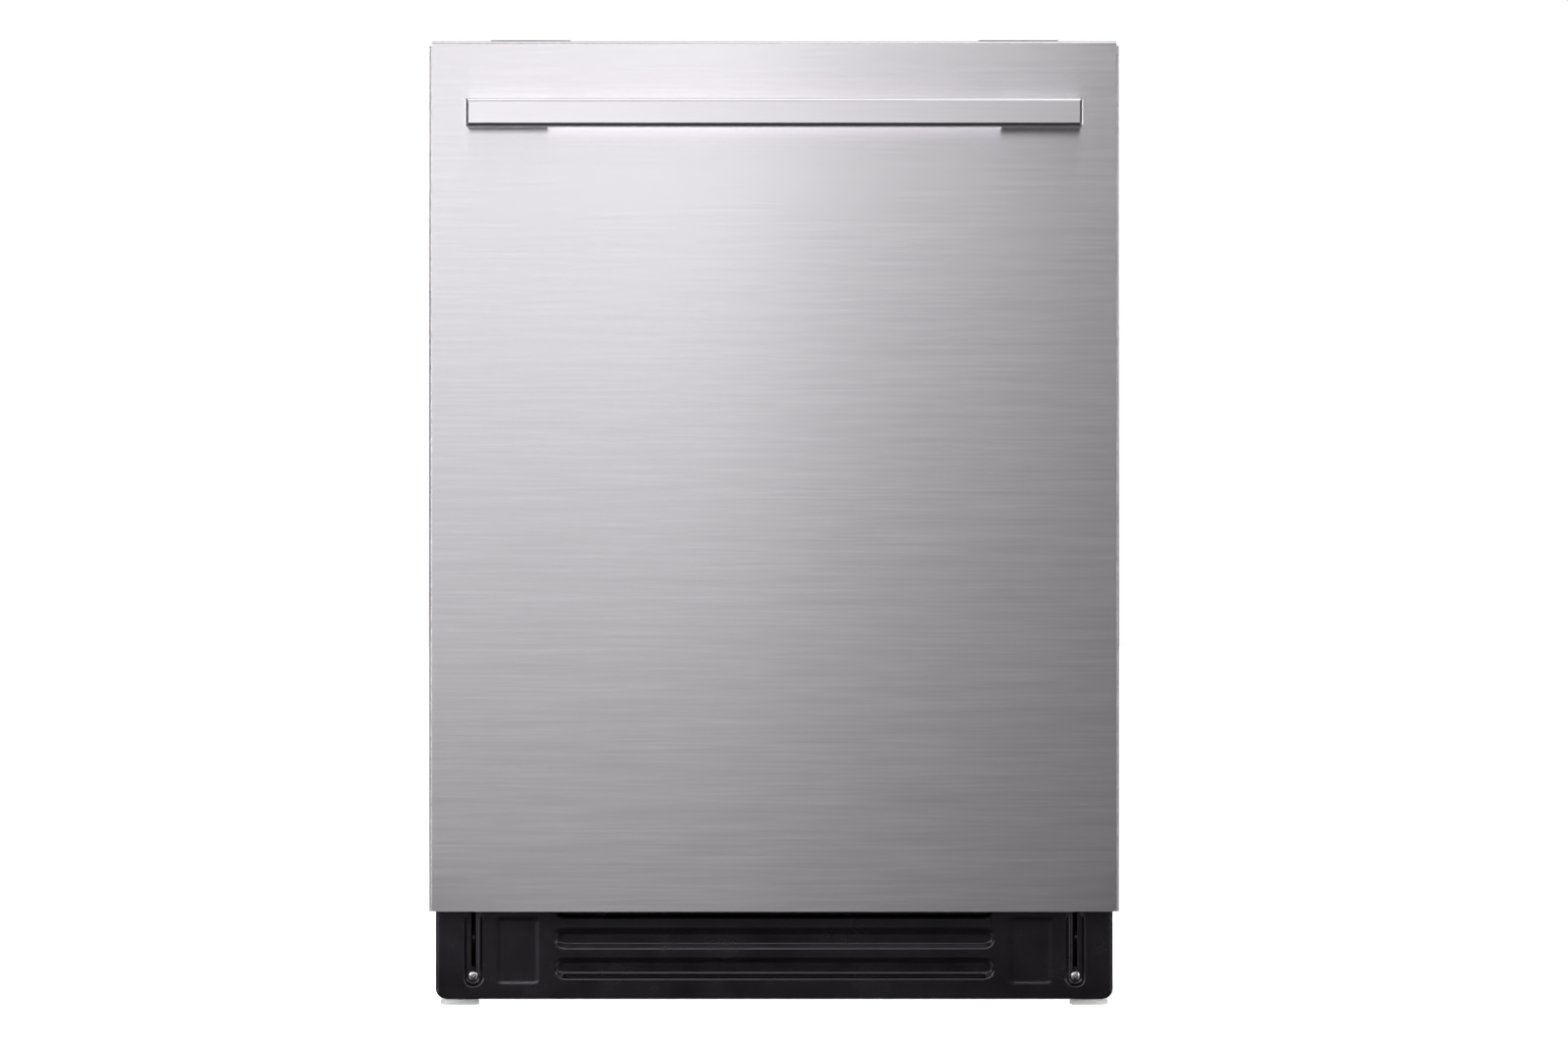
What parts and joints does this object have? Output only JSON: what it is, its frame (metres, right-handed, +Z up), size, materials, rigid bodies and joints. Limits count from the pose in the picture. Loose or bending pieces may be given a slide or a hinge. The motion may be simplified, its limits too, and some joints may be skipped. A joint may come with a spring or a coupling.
{
  "type": "built-in dishwasher",
  "caption": "Built-in dishwasher: drop-down steel door with a bar handle over a black toe kick; the tub holds two pull-out wire racks, spray arms and a filter above an open pump base.",
  "frame": {"origin": "on the floor, under the centre of the whole machine's bounding box, handle and pipe ends included", "axes": "+Z up; -Y is the front with the door and handle; +X is to the right for someone facing the door"},
  "size_m": [0.603, 0.658, 0.854],
  "materials": {
    "door_steel": "satin, brushed horizontally",
    "handle_steel": "satin, brushed along the bar",
    "tub_steel": "bright, lightly brushed",
    "zinc_steel": "galvanised, dull",
    "black_steel": "satin black paint",
    "bright_screw": "bright zinc plate",
    "grey_coated_wire": "nylon coated, satin",
    "blue_coated_wire": "nylon coated, satin",
    "dark_plastic": "fine matt grain",
    "black_gloss": "gloss black",
    "grey_plastic": "matt moulded",
    "light_plastic": "matt moulded",
    "dispenser_plastic": "satin moulded",
    "cap_plastic": "satin moulded blue",
    "button_plastic": "satin silver",
    "window_glass": "tinted dark",
    "motor_paint": "satin grey",
    "seal_rubber": "matt",
    "hose_rubber": "matt, ribbed",
    "felt": "pressed fibre felt",
    "spring_steel": "oiled spring steel"
  },
  "bodies": {
    "chassis": {"tub": "tub_steel", "door_gasket": "seal_rubber", "base_frame": "black_steel", "toe_kick": "black_steel", "kick_screws": "bright_screw", "insulation_blanket": "felt", "mounting_brackets": "zinc_steel", "door_strike": "zinc_steel", "sump": "dark_plastic", "coarse_filter": "tub_steel", "circulation_pump": "motor_paint", "drain_pump": "dark_plastic", "inlet_valve": "light_plastic", "internal_hoses": "hose_rubber", "water_guide": "light_plastic", "spray_manifold": "grey_plastic", "junction_box": "zinc_steel", "control_box": "light_plastic", "outer_rails": "tub_steel", "hinge_brackets": "zinc_steel", "balance_springs": "spring_steel"},
    "door": {"door_skin": "door_steel", "handle_bar": "handle_steel", "handle_posts": "handle_steel", "control_panel": "black_gloss", "display_window": "window_glass", "door_liner": "tub_steel", "door_insulation": "felt", "door_bottom_seal": "seal_rubber", "dispenser_body": "dispenser_plastic", "door_vent": "grey_plastic", "hinge_arms": "zinc_steel", "door_screws": "bright_screw"},
    "spring_rods": {"spring_rods": "zinc_steel"},
    "catch": {"latch_catch": "zinc_steel"},
    "cup_cover": {"dispenser_lid": "dispenser_plastic"},
    "rinse_cap": {"rinse_aid_cap": "cap_plastic"},
    "power_key": {"power_button": "button_plastic"},
    "cycle_key": {"cycle_button": "button_plastic"},
    "start_key": {"start_button": "button_plastic"},
    "foot_front_left": {"front_left_foot": "light_plastic"},
    "foot_front_right": {"front_right_foot": "light_plastic"},
    "foot_rear_left": {"rear_left_foot": "light_plastic"},
    "foot_rear_right": {"rear_right_foot": "light_plastic"},
    "lower_rack": {"lower_basket": "grey_coated_wire", "wheel_brackets": "grey_plastic"},
    "cutlery": {"silverware_basket": "grey_plastic"},
    "tines": {"fold_tines": "blue_coated_wire"},
    "wheels_front": {"front_wheels": "grey_plastic"},
    "wheels_middle": {"middle_wheels": "grey_plastic"},
    "wheels_rear": {"rear_wheels": "grey_plastic"},
    "upper_rack": {"upper_basket": "grey_coated_wire", "upper_slides": "tub_steel", "upper_feed_tube": "grey_plastic"},
    "slide_middle": {"middle_rails": "tub_steel"},
    "upper_arm": {"upper_spray_arm": "grey_plastic"},
    "shelf": {"cup_shelf": "blue_coated_wire"},
    "lower_arm": {"lower_spray_arm": "grey_plastic"},
    "filter": {"fine_filter": "grey_plastic"},
    "leak_float": {"float": "light_plastic"}
  },
  "joints": [
    {"name": "door_hinge", "type": "hinge", "parent": "chassis", "child": "door", "pos_m": [0, -0.26, 0.1], "axis": [1, 0, 0], "range_deg": [0, 90], "stiffness_Nm_per_rad": 21, "springref_deg": -8.59, "deforming": ["balance_springs"]},
    {"name": "spring_rod_slide", "type": "slide", "parent": "chassis", "child": "spring_rods", "axis": [0, -1, 0], "range_m": [0, 0.048]},
    {"name": "catch_press", "type": "slide", "parent": "door", "child": "catch", "axis": [0, 0, -1], "range_m": [0, 0.003], "stiffness_N_per_m": 1500, "springref_m": -0.002},
    {"name": "cup_cover_slide", "type": "slide", "parent": "door", "child": "cup_cover", "axis": [1, 0, 0], "range_m": [0, 0.06]},
    {"name": "rinse_cap_turn", "type": "hinge", "parent": "door", "child": "rinse_cap", "pos_m": [0.078, -0.221, 0.572], "axis": [0, -1, 0], "range_deg": [0, 90]},
    {"name": "power_press", "type": "slide", "parent": "door", "child": "power_key", "axis": [0, 0, -1], "range_m": [0, 0.001], "stiffness_N_per_m": 400, "springref_m": -0.001},
    {"name": "cycle_press", "type": "slide", "parent": "door", "child": "cycle_key", "axis": [0, 0, -1], "range_m": [0, 0.001], "stiffness_N_per_m": 400, "springref_m": -0.001},
    {"name": "start_press", "type": "slide", "parent": "door", "child": "start_key", "axis": [0, 0, -1], "range_m": [0, 0.001], "stiffness_N_per_m": 400, "springref_m": -0.001},
    {"name": "front_left_foot_screw", "type": "slide", "parent": "chassis", "child": "foot_front_left", "axis": [0, 0, -1], "range_m": [0, 0.03]},
    {"name": "front_right_foot_screw", "type": "slide", "parent": "chassis", "child": "foot_front_right", "axis": [0, 0, -1], "range_m": [0, 0.03]},
    {"name": "rear_left_foot_screw", "type": "slide", "parent": "chassis", "child": "foot_rear_left", "axis": [0, 0, -1], "range_m": [0, 0.03]},
    {"name": "rear_right_foot_screw", "type": "slide", "parent": "chassis", "child": "foot_rear_right", "axis": [0, 0, -1], "range_m": [0, 0.03]},
    {"name": "lower_rack_slide", "type": "slide", "parent": "chassis", "child": "lower_rack", "axis": [0, -1, 0], "range_m": [0, 0.176]},
    {"name": "cutlery_lift", "type": "slide", "parent": "lower_rack", "child": "cutlery", "axis": [0, 0, 1], "range_m": [0, 0.09]},
    {"name": "tine_fold", "type": "hinge", "parent": "lower_rack", "child": "tines", "pos_m": [0.118, 0.11, 0.1863], "axis": [1, 0, 0], "range_deg": [0, 85]},
    {"name": "front_wheel_spin", "type": "hinge", "parent": "lower_rack", "child": "wheels_front", "pos_m": [0, -0.086, 0.1543], "axis": [1, 0, 0], "continuous": true},
    {"name": "middle_wheel_spin", "type": "hinge", "parent": "lower_rack", "child": "wheels_middle", "pos_m": [0, -0.014, 0.1543], "axis": [1, 0, 0], "continuous": true},
    {"name": "rear_wheel_spin", "type": "hinge", "parent": "lower_rack", "child": "wheels_rear", "pos_m": [0, 0.22, 0.1543], "axis": [1, 0, 0], "continuous": true},
    {"name": "upper_rack_slide", "type": "slide", "parent": "chassis", "child": "upper_rack", "axis": [0, -1, 0], "range_m": [0, 0.42]},
    {"name": "middle_rail_slide", "type": "slide", "parent": "chassis", "child": "slide_middle", "axis": [0, -1, 0], "range_m": [0, 0.21]},
    {"name": "upper_arm_spin", "type": "hinge", "parent": "upper_rack", "child": "upper_arm", "pos_m": [0, 0.03, 0.455], "axis": [0, 0, 1], "continuous": true},
    {"name": "shelf_fold", "type": "hinge", "parent": "upper_rack", "child": "shelf", "pos_m": [-0.235, 0.026, 0.566], "axis": [0, -1, 0], "range_deg": [0, 80]},
    {"name": "lower_arm_spin", "type": "hinge", "parent": "chassis", "child": "lower_arm", "pos_m": [0, 0.02, 0.155], "axis": [0, 0, 1], "continuous": true},
    {"name": "filter_twist", "type": "hinge", "parent": "chassis", "child": "filter", "pos_m": [0.042, -0.022, 0.135], "axis": [0, 0, 1], "range_deg": [0, 90]},
    {"name": "float_lift", "type": "slide", "parent": "chassis", "child": "leak_float", "axis": [0, 0, 1], "range_m": [0, 0.012]}
  ],
  "couplings": [
    {"joint": "spring_rod_slide", "follows": "door_hinge", "m_per_rad": 0.03},
    {"joint": "lower_rack_slide", "follows": "door_hinge", "m_per_rad": 0.112},
    {"joint": "upper_rack_slide", "follows": "door_hinge", "m_per_rad": 0.2673},
    {"joint": "middle_rail_slide", "follows": "door_hinge", "m_per_rad": 0.13365},
    {"joint": "front_wheel_spin", "follows": "door_hinge", "ratio": 5.6},
    {"joint": "middle_wheel_spin", "follows": "door_hinge", "ratio": 5.6},
    {"joint": "rear_wheel_spin", "follows": "door_hinge", "ratio": 5.6}
  ]
}
